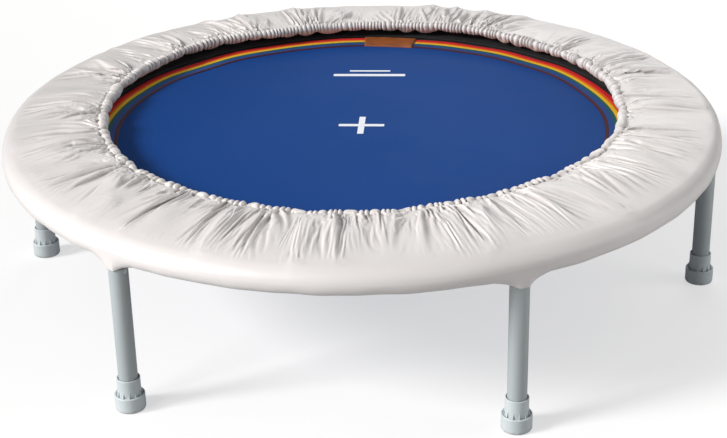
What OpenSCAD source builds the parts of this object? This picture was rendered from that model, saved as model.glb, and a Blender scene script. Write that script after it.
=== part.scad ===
// Mini trampoline: round tube frame on six folding legs, sprung jumping mat,
// striped edge webbing, padded fabric rim cover with an elastic opening.
// Millimetres, Z up, origin on the floor under the centre, -Y is the front, +X the right.

/* [Frame] */
// Radius of the frame tube's centreline
frame_r = 494; // [488:0.5:500]
// Outside diameter of the frame tube
frame_d = 28; // [27:0.5:28]
// Wall of the frame and leg tubes
wall = 2; // [1.5:0.1:2]
// Height of the frame tube's centre above the floor
frame_z = 227.2; // [220:0.1:235]

/* [Legs] */
// Azimuth of the first leg, counted from the front towards the right
leg_first = 22; // [0:1:59]
// Outside diameter of a leg
leg_d = 25; // [24:0.5:25]
// Drop from the frame tube's centre to the hinge pin
hinge_drop = 29.2; // [29:0.1:31]
// Diameter of the hinge pin
pin_d = 6; // [5:0.5:6]
// Outside diameter of the foot cap
foot_d = 39.5; // [38:0.5:42]
// Height of the foot cap
foot_h = 45; // [42:1:50]

/* [Mat and springs] */
// Radius of the woven mat
mat_r = 390; // [388:0.5:390]
// Height of the jumping surface above the floor, less that of the frame's centre
mat_rise = 0.4; // [0.3:0.1:0.5]
// Number of springs
spring_count = 36; // [24:6:36]
// Coils in a spring
coils = 9; // [8:1:10]

/* [Webbing and label] */
// Inner radius of the striped webbing
web_in = 350; // [348:1:352]
// Width of the striped webbing
web_w = 37; // [36:0.5:37]
// Length of the leather label along the webbing
label_len = 82; // [70:1:90]
// Azimuth of the label's middle
label_az = 172.3; // [160:0.1:180]

/* [Rim cover] */
// Thickness of the cover fabric
cover_t = 1.2; // [1:0.1:1.2]
// Radius of the cover's opening
open_r = 362.2; // [361:0.1:364]
// Thickness of the foam above the frame
foam_t = 9; // [8:0.5:9.5]

/* [Hidden] */
$fn = 96;
tube_r = frame_d / 2;
leg_r = leg_d / 2;
leg_step = 60;                     // degrees between legs
pivot_z = frame_z - hinge_drop;
mat_z = frame_z + mat_rise;        // top of the mat

// ---- placing -----------------------------------------------------------

// local +X points outwards at the azimuth, local +Y along the rim
module at_azimuth(azimuth) rotate([0, 0, azimuth - 90]) children();

module at_leg(i) at_azimuth(leg_first + leg_step * i) translate([frame_r, 0, 0]) children();

module each_leg() for (i = [0 : 5]) at_leg(i) children();

module each_spring() for (i = [0 : spring_count - 1])
  at_azimuth(7 + 360 / spring_count * i) children();

// cylinder along local Y, centred on it
module cross_cylinder(length, radius, z = 0) translate([0, length / 2, z])
  rotate([90, 0, 0]) cylinder(h = length, r = radius);

module rod(from, to, radius) {
  span = to - from;
  translate(from) rotate([0, acos(span[2] / norm(span)), atan2(span[1], span[0])])
    cylinder(h = norm(span), r = radius, $fn = 32);
}

// ---- frame -------------------------------------------------------------

lug_t = 8;                         // thickness along the rim
lug_r = 8;                         // rounded end, and half the width

module frame_ring() color([0.52, 0.54, 0.56]) difference() {
  rotate_extrude() translate([frame_r, frame_z]) difference() {
    circle(r = tube_r);
    circle(r = tube_r - wall);
  }
  // one hole in the inner wall for each spring's hook
  each_spring() translate([frame_r - tube_r - 2, 0, frame_z]) rotate([0, 90, 0])
    cylinder(h = 8, r = 2.5, $fn = 32);
}

// lug under the tube, let into its wall by the weld
module leg_lugs() color([0.45, 0.47, 0.49]) for (i = [0 : 5]) difference() {
  at_leg(i) difference() {
    union() {
      translate([-lug_r, -lug_t / 2, pivot_z]) cube([2 * lug_r, lug_t, hinge_drop - 4]);
      cross_cylinder(lug_t, lug_r, pivot_z);
    }
    cross_cylinder(lug_t + 2, pin_d / 2 + 0.01, pivot_z, $fn = 48);
  }
  rotate_extrude() translate([frame_r, frame_z]) circle(r = tube_r - 0.4);
}

module hinge_pins() color([0.75, 0.76, 0.78]) each_leg()
  cross_cylinder(leg_d - 0.4, pin_d / 2, pivot_z, $fn = 48);

// ---- legs --------------------------------------------------------------

cap_floor = 3;                     // thickness of the foot cap under the leg
leg_z = cap_floor + 0.1;           // lower end of the leg
leg_top = 5.2;                     // leg above the pin
slot_w = lug_t + 0.6;
ledge_z = 21.5;                    // top of the foot cap's wide part
bore_r = leg_r + 0.05;
collar_r = bore_r + 2.55;
foot_r = foot_d / 2;

module leg_tube(i) color([0.55, 0.57, 0.59]) at_leg(i) difference() {
  translate([0, 0, leg_z]) cylinder(h = pivot_z + leg_top - leg_z, r = leg_r);
  translate([0, 0, cap_floor]) cylinder(h = pivot_z + leg_top, r = leg_r - wall);
  // slot for the lug, open inwards and at the top so the leg can fold
  translate([-leg_d, -slot_w / 2, pivot_z - lug_r - 0.5]) cube([leg_d, slot_w, 30]);
  cross_cylinder(2 * leg_d, pin_d / 2 + 0.05, pivot_z, $fn = 48);
}

module foot_cap(i) color([0.66, 0.70, 0.71]) at_leg(i) {
  // radius, height: up the outside, then down the bore
  rotate_extrude() polygon([
    [0, 0], [foot_r - 2.4, 0], [foot_r - 0.9, 0.6], [foot_r, 2.2],
    [foot_r, ledge_z - 1], [foot_r - 0.8, ledge_z], [foot_r - 2, ledge_z],
    [foot_r - 2.2, ledge_z - 0.8], [collar_r, ledge_z - 0.8],
    [collar_r, foot_h - 0.6], [collar_r - 0.6, foot_h], [bore_r + 1.2, foot_h],
    [bore_r, foot_h - 5], [bore_r, cap_floor], [0, cap_floor]]);
  // small ribs between the collar and the ledge
  for (k = [0 : 11]) rotate([0, 0, 30 * k + 15]) translate([0, 0.6, 0]) rotate([90, 0, 0])
    linear_extrude(height = 1.2) polygon([
      [collar_r - 0.5, ledge_z - 1], [foot_r - 2.6, ledge_z - 1], [foot_r - 2.6, ledge_z],
      [collar_r + 0.4, ledge_z + 6.4], [collar_r - 0.5, ledge_z + 6.4]]);
}

module leg_tube_front_right() leg_tube(0);
module leg_tube_right() leg_tube(1);
module leg_tube_rear_right() leg_tube(2);
module leg_tube_rear_left() leg_tube(3);
module leg_tube_left() leg_tube(4);
module leg_tube_front_left() leg_tube(5);
module foot_cap_front_right() foot_cap(0);
module foot_cap_right() foot_cap(1);
module foot_cap_rear_right() foot_cap(2);
module foot_cap_rear_left() foot_cap(3);
module foot_cap_left() foot_cap(4);
module foot_cap_front_left() foot_cap(5);

// ---- springs and rings -------------------------------------------------

bar_r = mat_r + 27;                // straight side of the D rings
ring_r = 8;                        // bend of a D ring
ring_wire_r = 1.6;
wire_r = 1.3;                      // spring wire
eye_bend_r = 4.6;
eye_r = bar_r + 9.4;               // centre of a spring's eye
coil_in = 5.6;                     // valley between coils
coil_out = 7.1;                    // crest of a coil
pitch = 3.4;
coil_start = eye_r + eye_bend_r + 1.5;
coil_end = coil_start + coils * pitch;
hook_r = frame_r - 9;
tab_w = 10;
tab_r = 2.65;                      // half the folded tab's thickness
tab_bore_r = 1.67;

// close-wound spring: eye on a D ring, hook in the frame tube
module springs() color([0.78, 0.79, 0.80]) each_spring() translate([0, 0, frame_z]) {
  // shank, coils and shank: radius, distance from the trampoline's centre
  rotate([0, 90, 0]) rotate_extrude($fn = 32) polygon(concat(
    [[0, eye_r + eye_bend_r], [wire_r, eye_r + eye_bend_r], [wire_r, coil_start]],
    [for (k = [0 : coils - 1], half = [0, 1])
      [half == 0 ? coil_in : coil_out, coil_start + (k + half / 2) * pitch]],
    [[coil_in, coil_end], [wire_r, coil_end], [wire_r, hook_r], [0, hook_r]]));
  translate([eye_r, 0, 0]) rotate([90, 0, 0]) rotate_extrude($fn = 32)
    translate([eye_bend_r, 0]) circle(r = wire_r, $fn = 16);
  translate([hook_r, 0, -wire_r]) cylinder(h = 5.5 + wire_r, r = wire_r, $fn = 16);
}

module d_rings() color([0.72, 0.73, 0.75]) each_spring() translate([bar_r, 0, frame_z]) {
  rotate([0, 0, -90]) rotate_extrude(angle = 180, $fn = 48)
    translate([ring_r, 0]) circle(r = ring_wire_r, $fn = 16);
  cross_cylinder(2 * ring_r, ring_wire_r, $fn = 16);
  for (y = [-ring_r, ring_r]) translate([0, y, 0]) sphere(r = ring_wire_r, $fn = 16);
}

// webbing loop folded over the edge band and round the ring's bar
module ring_tabs() color([0.06, 0.06, 0.07]) each_spring()
  translate([bar_r, tab_w / 2, frame_z]) rotate([90, 0, 0])
  linear_extrude(height = tab_w) difference() {
    union() {
      circle(r = tab_r, $fn = 32);
      translate([-19, -tab_r]) square([19, 2 * tab_r]);
    }
    circle(r = tab_bore_r, $fn = 32);
    translate([-20, -tab_bore_r]) square([20, 2 * tab_bore_r]);
  }

// ---- mat ---------------------------------------------------------------

mat_t = 1;
edge_t = 3.3;                      // folded black edge band
edge_w = 22;
bevel = 0.4;                       // on the edge band and the label
lift = 0.02;                       // gap between stacked layers
web_t = 1.2;
// edges of the six stripes from the inside out, as shares of the webbing's width
stripe_edges = [0, 0.21, 0.41, 0.51, 0.67, 0.80, 1];
label_t = 1.5;
label_over = 0.8;                  // label beyond each edge of the webbing
label_w = web_w + 2 * label_over;
label_half = label_len / 2 / (web_in + web_w / 2) * 180 / PI;  // degrees

module jumping_mat() color([0.15, 0.30, 0.58])
  translate([0, 0, mat_z - mat_t]) cylinder(h = mat_t, r = mat_r);

module mat_border() color([0.05, 0.05, 0.06]) rotate_extrude()
  translate([mat_r + 0.05, frame_z - edge_t / 2]) polygon([
    [0, bevel], [bevel, 0], [edge_w - bevel, 0], [edge_w, bevel],
    [edge_w, edge_t - bevel], [edge_w - bevel, edge_t], [bevel, edge_t], [0, edge_t - bevel]]);

// black cloth flap sewn to the edge band, lying over the rings and springs
module spring_guard() color([0.05, 0.05, 0.06]) rotate_extrude() translate([mat_r, frame_z])
  polygon([[2, 2.9], [42, 8], [56, 9], [56, 9.9], [42, 8.9], [2, 3.9]]);

// stripe k of the webbing, counted outwards; one ribbon woven in six colours
module band(k) rotate_extrude()
  translate([web_in + web_w * stripe_edges[k], mat_z + lift])
  square([web_w * (stripe_edges[k + 1] - stripe_edges[k]), web_t]);

module webbing_maroon() color([0.36, 0.08, 0.12]) band(0);
module webbing_blue() color([0.11, 0.28, 0.58]) band(1);
module webbing_teal() color([0.02, 0.38, 0.36]) band(2);
module webbing_yellow() color([0.95, 0.78, 0.18]) band(3);
module webbing_orange() color([0.92, 0.42, 0.14]) band(4);
module webbing_red() color([0.82, 0.08, 0.11]) band(5);

// leather label across the webbing at the back, its upper edges bevelled
module webbing_label() color([0.64, 0.36, 0.16]) at_azimuth(label_az - label_half)
  rotate_extrude(angle = 2 * label_half)
  translate([web_in - label_over, mat_z + web_t + 2 * lift]) polygon([
    [0, 0], [label_w, 0], [label_w, label_t - bevel],
    [label_w - bevel, label_t], [bevel, label_t], [0, label_t - bevel]]);

// plain cross at the middle of the mat and two plain bars behind it
module mat_print() color([0.90, 0.92, 0.95]) translate([0, 0, mat_z + lift])
  rotate([0, 0, -3.8]) linear_extrude(height = 0.25) {
    square([66, 9], center = true);
    square([9, 66], center = true);
    translate([0, 212]) square([112, 10], center = true);
    translate([0, 231]) square([64, 6], center = true);
  }

// ---- rim cover ---------------------------------------------------------

rim_in = tube_r + 1.3;             // inside radius of the rim's rounds
rim_out = rim_in + cover_t;        // outside radius of the rim's rounds
rim_mid = frame_r - 0.5;           // centre radius of the rim
rim_z = frame_z + foam_t;          // centre height of the upper round
cover_top = rim_z + rim_out;
bend_r = 470;                      // where the cover's top starts to fall
foam_in = 378;                     // inner edge of the foam
foam_z = frame_z + tube_r + 0.4;   // underside of the foam
foam_top = cover_top - cover_t;    // underside of the cover
roll = 5;                          // rolled edge of the opening
roll_r = open_r + roll;
roll_z = cover_top - 9.1;
cord_r = 1.1;                      // hem elastic
hem_inset = 11.2;                  // hem inside and below the rim's centre
hem_r = rim_mid - hem_inset;
hem_z = frame_z - hem_inset;
hem_az = 4.75;                     // hem leaves the tube this many degrees from a leg
loop_r = leg_r + 2.25;             // hem elastic around a leg
loop_z = pivot_z + 2;
leg_room_r = leg_r + 1.4;
skirt_z = loop_z + cord_r + 0.3;
side_cut = 40;                     // reach inwards of the cuts in the rim's side
// upper line of the cover's top, from rim to opening: radius, height from cover_top
top_line = [[rim_mid, 0], [bend_r, -0.1], [380, -2.9], [roll_r + 3, -3.9], [roll_r, -4.1]];

module rim_foam() color([0.86, 0.85, 0.80]) rotate_extrude() {
  polygon([
    [foam_in, foam_z + 0.6], [foam_in + 0.6, foam_z], [rim_mid, foam_z],
    [rim_mid, foam_top - 0.3], [bend_r, foam_top - 0.4],
    [foam_in + 1.5, foam_top - 3.2], [foam_in, foam_top - 4.4]]);
  intersection() {
    translate([rim_mid, rim_z]) circle(r = rim_in - 0.3);
    translate([rim_mid - 0.01, foam_z]) square([rim_in, 30]);
  }
}

// upright oval round the frame tube and the foam above it
module rim_oval(radius) {
  translate([rim_mid, frame_z]) circle(r = radius);
  translate([rim_mid, rim_z]) circle(r = radius);
  translate([rim_mid - radius, frame_z]) square([2 * radius, foam_t]);
}

module rim_section() difference() {
  union() {
    difference() {
      union() rim_oval(rim_out);
      rim_oval(rim_in);
      // open inner side: over the springs, and under the tube inside the hem
      translate([rim_mid - side_cut, hem_z]) square([side_cut, foam_top - hem_z]);
      translate([rim_mid - side_cut, frame_z - 30]) square([side_cut - hem_inset, 40]);
    }
    // top of the cover, falling slightly to its opening
    polygon(concat(
      [for (point = top_line) point + [0, cover_top]],
      [for (k = [len(top_line) - 1 : -1 : 0]) top_line[k] + [0, foam_top]]));
    translate([roll_r, roll_z]) circle(r = roll, $fn = 48);
    translate([hem_r, hem_z]) circle(r = 2, $fn = 32);
  }
  translate([roll_r, roll_z]) circle(r = roll - cover_t, $fn = 48);
  translate([hem_r, hem_z]) circle(r = cord_r + 0.1, $fn = 32);
}

module rim_cover() color([0.87, 0.84, 0.80]) {
  difference() {
    rotate_extrude() rim_section();
    each_leg() {
      // room for the leg, and for the hem elastic on its way round it
      translate([0, 0, pivot_z]) cylinder(h = 24, r = leg_room_r);
      translate([-20, -41.5, pivot_z]) cube([14, 83, 24]);
    }
  }
  // skirt hanging round the outer side of each leg
  for (i = [0 : 5]) difference() {
    at_leg(i) difference() {
      translate([0, 0, skirt_z]) cylinder(h = frame_z - 2.7 - skirt_z, r = leg_r + 2.8);
      translate([0, 0, pivot_z]) cylinder(h = 40, r = leg_room_r);
      translate([-30, -30, pivot_z]) cube([30, 60, 40]);
    }
    rotate_extrude() rim_oval(rim_in);
  }
}

module opening_elastic() color([0.16, 0.15, 0.15])
  rotate_extrude() translate([roll_r, roll_z]) circle(r = 3, $fn = 32);

// elastic in the hem: under the tube between the legs, round the outer side of each leg
module hem_elastic() color([0.20, 0.19, 0.18]) for (i = [0 : 5]) {
  at_azimuth(leg_first + leg_step * i + hem_az)
    rotate_extrude(angle = leg_step - 2 * hem_az)
    translate([hem_r, hem_z]) circle(r = cord_r, $fn = 24);
  at_leg(i) {
    for (side = [-1, 1]) {
      hem_end = [hem_r * cos(hem_az) - frame_r, side * hem_r * sin(hem_az), hem_z];
      loop_end = [0, side * loop_r, loop_z];
      rod(hem_end, loop_end, cord_r);
      translate(hem_end) sphere(r = cord_r + 0.1, $fn = 24);
      translate(loop_end) sphere(r = cord_r + 0.1, $fn = 24);
    }
    translate([0, 0, loop_z]) rotate([0, 0, -90]) rotate_extrude(angle = 180, $fn = 48)
      translate([loop_r, 0]) circle(r = cord_r, $fn = 24);
  }
}

// ---- output ------------------------------------------------------------

frame_ring();
leg_lugs();
hinge_pins();
leg_tube_front_right();
leg_tube_right();
leg_tube_rear_right();
leg_tube_rear_left();
leg_tube_left();
leg_tube_front_left();
foot_cap_front_right();
foot_cap_right();
foot_cap_rear_right();
foot_cap_rear_left();
foot_cap_left();
foot_cap_front_left();
springs();
d_rings();
ring_tabs();
jumping_mat();
mat_border();
spring_guard();
webbing_maroon();
webbing_blue();
webbing_teal();
webbing_yellow();
webbing_orange();
webbing_red();
webbing_label();
mat_print();
rim_foam();
rim_cover();
opening_elastic();
hem_elastic();
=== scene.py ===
"""A round trampoline: a padded cover gathered over the frame ring, a mat hung on springs, six legs.

Metres, +Z up, feet on z = 0, the ring's axis on Z. The front is -Y; azimuths count from
the front towards +X. Sections are (radius, z) outlines carried round the ring.
"""
import math
from functools import cached_property

import bmesh
import bpy
import numpy as np
from mathutils import Matrix, Vector
from numpy import cos, pi, sin


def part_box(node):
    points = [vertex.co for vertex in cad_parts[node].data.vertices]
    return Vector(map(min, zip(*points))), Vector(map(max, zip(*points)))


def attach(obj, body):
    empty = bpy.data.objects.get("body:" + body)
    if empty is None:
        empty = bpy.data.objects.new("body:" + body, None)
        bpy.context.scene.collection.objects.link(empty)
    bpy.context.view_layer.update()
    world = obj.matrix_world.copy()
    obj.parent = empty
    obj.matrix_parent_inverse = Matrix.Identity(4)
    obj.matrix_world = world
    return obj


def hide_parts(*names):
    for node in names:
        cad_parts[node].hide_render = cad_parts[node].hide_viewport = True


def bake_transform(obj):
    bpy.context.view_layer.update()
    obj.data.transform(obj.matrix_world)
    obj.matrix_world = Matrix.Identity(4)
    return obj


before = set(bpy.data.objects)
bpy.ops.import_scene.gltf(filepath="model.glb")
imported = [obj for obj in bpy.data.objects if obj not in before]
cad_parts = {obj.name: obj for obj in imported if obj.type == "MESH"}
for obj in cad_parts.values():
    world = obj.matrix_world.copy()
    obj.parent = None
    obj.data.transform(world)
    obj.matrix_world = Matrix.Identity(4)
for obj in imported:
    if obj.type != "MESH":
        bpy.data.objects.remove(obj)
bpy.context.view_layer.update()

mm = 0.001

tube_low, tube_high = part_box("frame_ring")
FRAME_Z = (tube_low.z + tube_high.z) / 2            # height of the frame tube's centre
TUBE_R = (tube_high.z - tube_low.z) / 2             # its outside radius
FRAME_R = tube_high.x - TUBE_R                      # radius of its centreline
cover_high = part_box("rim_cover")[1]
COVER_TOP, COVER_R = cover_high.z, cover_high.x
mat_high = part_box("jumping_mat")[1]
MAT_Z, MAT_R = mat_high.z, mat_high.x
band_low, band_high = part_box("mat_border")
BAND_TOP = band_high.z + 0.2 * mm
BAND_INNER = 0.3868
guard_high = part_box("spring_guard")[1]
GUARD_INNER = 0.3915

WEB_INNER, WEB_WIDTH = 0.350, 37 * mm               # striped webbing
WEB_MIDDLE = WEB_INNER + WEB_WIDTH / 2
BAR_R = MAT_R + 27 * mm                             # straight bars of the D-rings
SPRING_COUNT, FIRST_SPRING = 36, 7                  # the first azimuth in degrees
RING_STEPS = 720                                    # steps round the webbing, band and flap


def leg_azimuth(name):
    low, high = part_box("leg_tube_" + name)
    return math.atan2((low.x + high.x) / 2, -(low.y + high.y) / 2)


LEGS = [leg_azimuth(name) for name in
        ("front_right", "right", "rear_right", "rear_left", "left", "front_left")]


# ---------------------------------------------------------------- curves
def polar(radius, azimuth, z):
    return np.stack([radius * sin(azimuth), -radius * cos(azimuth), z + 0 * radius * azimuth], -1)


def smooth(t):
    t = np.clip(t, 0, 1)
    return t * t * (3 - 2 * t)


def circle(steps):
    return np.arange(steps) / steps * 2 * pi


def round_length(steps, radius):
    """Distance round a circle at each step, the closing one included."""
    return np.arange(steps + 1) / steps * 2 * pi * radius


def path_length(path, closed=False):
    """Distance along a path at each point, and back at the first one when closed."""
    if closed:
        path = np.concatenate([path, path[:1]])
    return np.concatenate([[0], np.cumsum(np.linalg.norm(np.diff(path, axis=0), axis=1))])


def angle_from(azimuth, centre):
    """Signed angle from centre, within half a turn."""
    return np.angle(np.exp(1j * (azimuth - centre)))


def periodic(seed, waves, azimuth):
    """Uneven wave that closes round the ring; waves are (count round the ring, height)."""
    draw = np.random.default_rng(seed)
    total = np.zeros_like(azimuth)
    for count, height in waves:
        for _ in range(3):
            extra = draw.integers(0, max(1, count // 4) + 1)
            total += height * sin((count + extra) * azimuth + draw.uniform(0, 2 * pi)) / 3
    return total


def cubic(before, start, end, after, t):
    """Catmull-Rom curve from start to end."""
    return 0.5 * (2 * start + (end - before) * t
                  + (2 * before - 5 * start + 4 * end - after) * t * t
                  + (3 * start - before - 3 * end + after) * t ** 3)


# ---------------------------------------------------------------- node materials
class Signal:
    """An output socket; arithmetic on it adds Math nodes."""

    def __init__(self, look, socket):
        self.look, self.socket = look, socket

    def __add__(self, other):
        return self.look.math("ADD", self, other)

    def __sub__(self, other):
        return self.look.math("SUBTRACT", self, other)

    def __rsub__(self, other):
        return self.look.math("SUBTRACT", other, self)

    def __mul__(self, other):
        return self.look.math("MULTIPLY", self, other)

    def __truediv__(self, other):
        return self.look.math("DIVIDE", self, other)

    def __abs__(self):
        return self.look.math("ABSOLUTE", self)


class Look:
    """A Principled material built from nodes."""

    def __init__(self, name, colour, rough=0.5, metal=0.0):
        self.material = bpy.data.materials.new(name)
        self.material.use_nodes = True
        self.tree = self.material.node_tree
        self.shader = self.tree.nodes["Principled BSDF"]
        self.relief = None
        self.set("Base Color", colour)
        self.set("Roughness", rough)
        self.set("Metallic", metal)

    def put(self, socket, value):
        """Link a signal, or set a number, a vector or an RGB colour."""
        if isinstance(value, Signal):
            self.tree.links.new(value.socket, socket)
        elif isinstance(value, tuple) and len(socket.default_value) == 4:
            socket.default_value = (*value, 1)
        else:
            socket.default_value = value

    def set(self, name, value):
        self.put(self.shader.inputs[name], value)

    def add(self, kind, inputs, output=0, **settings):
        """Add a node, fill its inputs and give one output."""
        node = self.tree.nodes.new(kind)
        for name, value in settings.items():
            setattr(node, name, value)
        for socket, value in inputs.items():
            self.put(node.inputs[socket], value)
        return Signal(self, node.outputs[output])

    @cached_property
    def uv(self):
        return self.add("ShaderNodeUVMap", {}, uv_map="UVMap")

    @cached_property
    def position(self):
        return self.add("ShaderNodeTexCoord", {}, "Object")

    def split(self, vector):
        first = self.add("ShaderNodeSeparateXYZ", {0: vector})
        return [Signal(self, output) for output in first.socket.node.outputs]

    def math(self, operation, first, second=0.0):
        return self.add("ShaderNodeMath", {0: first, 1: second}, operation=operation)

    def noise(self, vector, scale, detail=3, rough=0.5):
        return self.add("ShaderNodeTexNoise", {
            "Vector": vector, "Scale": scale, "Detail": detail, "Roughness": rough}, "Fac")

    def voronoi(self, vector, scale):
        return self.add("ShaderNodeTexVoronoi", {"Vector": vector, "Scale": scale}, "Distance")

    def stretch(self, vector, x, y, z=1.0):
        return self.add("ShaderNodeVectorMath", {0: vector, 1: (x, y, z)}, operation="MULTIPLY")

    def mix(self, factor, first, second, blend="MIX"):
        # sockets 6 and 7 and output 2 are the colour ones
        return self.add("ShaderNodeMix", {0: factor, 6: first, 7: second}, 2,
                        data_type="RGBA", blend_type=blend)

    def remap(self, value, start, end, low=0, high=1):
        """Carry start..end to low..high."""
        return self.add("ShaderNodeMapRange", {0: value, 1: start, 2: end, 3: low, 4: high})

    def mottle(self, noise, first, second):
        return self.mix(self.remap(noise, start=0.3, end=0.7), first, second)

    def wave(self, value, pitch):
        return self.math("SINE", value * (2 * pi / pitch))

    def weave(self, u_pitch, v_pitch):
        """Plain weave height over the UV map: two crossed thread rows."""
        u, v, _ = self.split(self.uv)
        warp, weft = self.wave(u, u_pitch), self.wave(v, v_pitch)
        return warp * weft * 0.35 + (abs(warp) + abs(weft)) * 0.3

    def bump(self, height, depth, strength):
        """Add relief on top of any laid before."""
        inputs = {"Strength": strength, "Distance": depth, "Height": height}
        if self.relief:
            inputs["Normal"] = self.relief
        self.relief = self.add("ShaderNodeBump", inputs)
        self.set("Normal", self.relief)


# ---------------------------------------------------------------- meshes
# A surface is (points, quads, UV of each quad corner). "ring" joins the last row of a grid
# to the first, "closed" the last column to the first.
def cells(rows, columns, ring, closed):
    return np.meshgrid(np.arange(rows if ring else rows - 1),
                       np.arange(columns if closed else columns - 1), indexing="ij")


def grid_quads(rows, columns, ring=True, closed=False, flip=False):
    row, column = cells(rows, columns, ring, closed)
    next_row, next_column = (row + 1) % rows, (column + 1) % columns
    quads = np.stack([row * columns + column, next_row * columns + column,
                      next_row * columns + next_column, row * columns + next_column], -1)
    quads = quads.reshape(-1, 4)
    return quads[:, ::-1] if flip else quads


def sheet(points, along, across, ring=True, closed=False, flip=False):
    """Surface over a grid of points (rows, columns, 3).

    along and across are the UV of the rows and columns, with one more entry where the grid
    joins up, so that the seam is clean.
    """
    rows, columns = points.shape[:2]
    if np.ndim(along) == 1:
        along = along[:, None]
    uv = np.stack(np.broadcast_arrays(along, across), -1)
    row, column = cells(rows, columns, ring, closed)
    corners = np.stack([uv[row, column], uv[row + 1, column],
                        uv[row + 1, column + 1], uv[row, column + 1]], 2).reshape(-1, 4, 2)
    if flip:
        corners = corners[:, ::-1]
    return points, grid_quads(rows, columns, ring, closed, flip), corners


def join(surfaces):
    points, quads, corners, count = [], [], [], 0
    for part_points, part_quads, part_corners in surfaces:
        part_points = part_points.reshape(-1, 3)
        points.append(part_points)
        quads.append(part_quads + count)
        corners.append(part_corners)
        count += len(part_points)
    return np.concatenate(points), np.concatenate(quads), np.concatenate(corners)


def tube(path, radius, sides, closed=False):
    """Round tube along a path; an open one gets a fan of quads over each end."""
    path = np.asarray(path, float)
    count = len(path)
    tangent = np.roll(path, -1, 0) - np.roll(path, 1, 0)
    if not closed:
        tangent[0], tangent[-1] = path[1] - path[0], path[-1] - path[-2]
    tangent /= np.linalg.norm(tangent, axis=1)[:, None]
    # a normal carried along the path without twist
    normal = np.array((0, 0, 1.0))
    if abs(normal @ tangent[0]) > 0.95:
        normal = np.array((1.0, 0, 0))
    normals = np.zeros_like(path)
    for i in range(count):
        normal = normal - (normal @ tangent[i]) * tangent[i]
        normal /= np.linalg.norm(normal)
        normals[i] = normal
    sideways = np.cross(tangent, normals)
    if closed:
        # spread the mismatch at the join evenly
        twist = math.atan2(np.cross(normals[-1], normals[0]) @ tangent[0],
                           normals[-1] @ normals[0])
        turn = np.linspace(0, twist, count)[:, None]
        normals, sideways = (normals * cos(turn) + sideways * sin(turn),
                             sideways * cos(turn) - normals * sin(turn))
    angle = circle(sides)[None, :, None]
    points = path[:, None] + radius * (cos(angle) * normals[:, None]
                                       + sin(angle) * sideways[:, None])
    points, quads, corners = sheet(points, path_length(path, closed),
                                   round_length(sides, radius), closed, True, flip=True)
    if not closed:
        caps = []
        for row, order in ((0, 1), (count - 1, -1)):
            rim = (row * sides + np.arange(sides))[::order]
            for k in range(1, sides - 2, 2):
                caps.append([rim[0], rim[k], rim[k + 1], rim[k + 2]])
        quads = np.concatenate([quads, np.array(caps)])
        corners = np.concatenate([corners, np.zeros((len(caps), 4, 2))])
    return points, quads, corners


def mesh_object(name, surface, look=None, shade_smooth=True, outward=True):
    points, quads, corners = surface
    mesh = bpy.data.meshes.new(name)
    points = np.asarray(points, np.float32).reshape(-1, 3)
    quads = np.asarray(quads, np.int32)
    mesh.vertices.add(len(points))
    mesh.vertices.foreach_set("co", points.ravel())
    mesh.loops.add(quads.size)
    mesh.loops.foreach_set("vertex_index", quads.ravel())
    mesh.polygons.add(len(quads))
    mesh.polygons.foreach_set("loop_start", np.arange(0, quads.size, 4, dtype=np.int32))
    mesh.polygons.foreach_set("loop_total", np.full(len(quads), 4, np.int32))
    mesh.update(calc_edges=True)
    if corners is not None:
        layer = mesh.uv_layers.new(name="UVMap")
        layer.data.foreach_set("uv", np.asarray(corners, np.float32).reshape(-1))
    if look:
        mesh.materials.append(look.material)
    if shade_smooth:
        mesh.polygons.foreach_set("use_smooth", np.ones(len(quads), bool))
    mesh.validate()
    if outward:
        edit = bmesh.new()
        edit.from_mesh(mesh)
        bmesh.ops.recalc_face_normals(edit, faces=edit.faces)
        edit.to_mesh(mesh)
        edit.free()
    mesh.update()
    item = bpy.data.objects.new(name, mesh)
    bpy.context.scene.collection.objects.link(item)
    return item


def on_frame(item, node):
    """The piece stays with the frame and stands in for a CAD node."""
    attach(item, "frame")
    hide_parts(node)


def on_mat(item, slot, *nodes):
    """The piece stands in for CAD nodes of the mat: its transform is baked in and the nodes are
    hidden.
    """
    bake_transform(item)
    if nodes:
        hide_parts(*nodes)


# ---------------------------------------------------------------- rim cover: its section
# radius of the opening round the rim, off centre and uneven: (azimuth in degrees, radius in mm)
OPENING = np.array([
    (0, 356), (15, 351.5), (30, 350.5), (45, 354), (60, 362), (75, 366), (90, 369), (105, 378),
    (116, 384), (128, 386), (145, 389), (159, 394), (170, 388), (180, 385), (192, 381),
    (200, 380), (207, 385), (215, 396), (223, 393), (235, 385), (250, 377), (262, 370),
    (270, 366), (285, 361), (300, 360), (315, 356), (330, 355), (345, 355.5), (360, 356)])

# samples in each span of the section, from the edge under the opening to the hem
EDGE_SPANS = [2, 2, 3, 3, 3, 3]
TOP_SPANS = [6, 7, 7, 7, 6, 5, 4]
BEND_SPANS = [4, 4, 4, 3, 2, 2]
SKIRT_SPANS = [2] * 7
HEM_SPANS = [1, 1]
INNER_COLUMN = sum(EDGE_SPANS[:3])                  # innermost line of the opening
SEAM_COLUMN = sum(EDGE_SPANS)                       # end of the rolled edge
BEND_COLUMN = SEAM_COLUMN + sum(TOP_SPANS) + sum(BEND_SPANS[:4])

# the skirt over a leg: (inset from the cover's radius, drop from the tube's centre) in mm
SKIRT_AT_LEG = [(0.0, -1), (0.2, 6), (0.4, 12), (0.6, 17), (0.8, 20.5), (1.1, 23.2), (1.6, 25.0)]
# and between legs: angles round the tube in degrees
SKIRT_WRAP = (-2, -22, -44, -66, -90, -112, -132)


def opening(azimuth):
    azimuth = np.mod(azimuth, 2 * pi)
    base = np.interp(azimuth, np.radians(OPENING[:, 0]), OPENING[:, 1] * mm)
    return base + periodic(5, [(9, 0.8 * mm), (23, 0.9 * mm), (47, 0.6 * mm)], azimuth)


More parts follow.
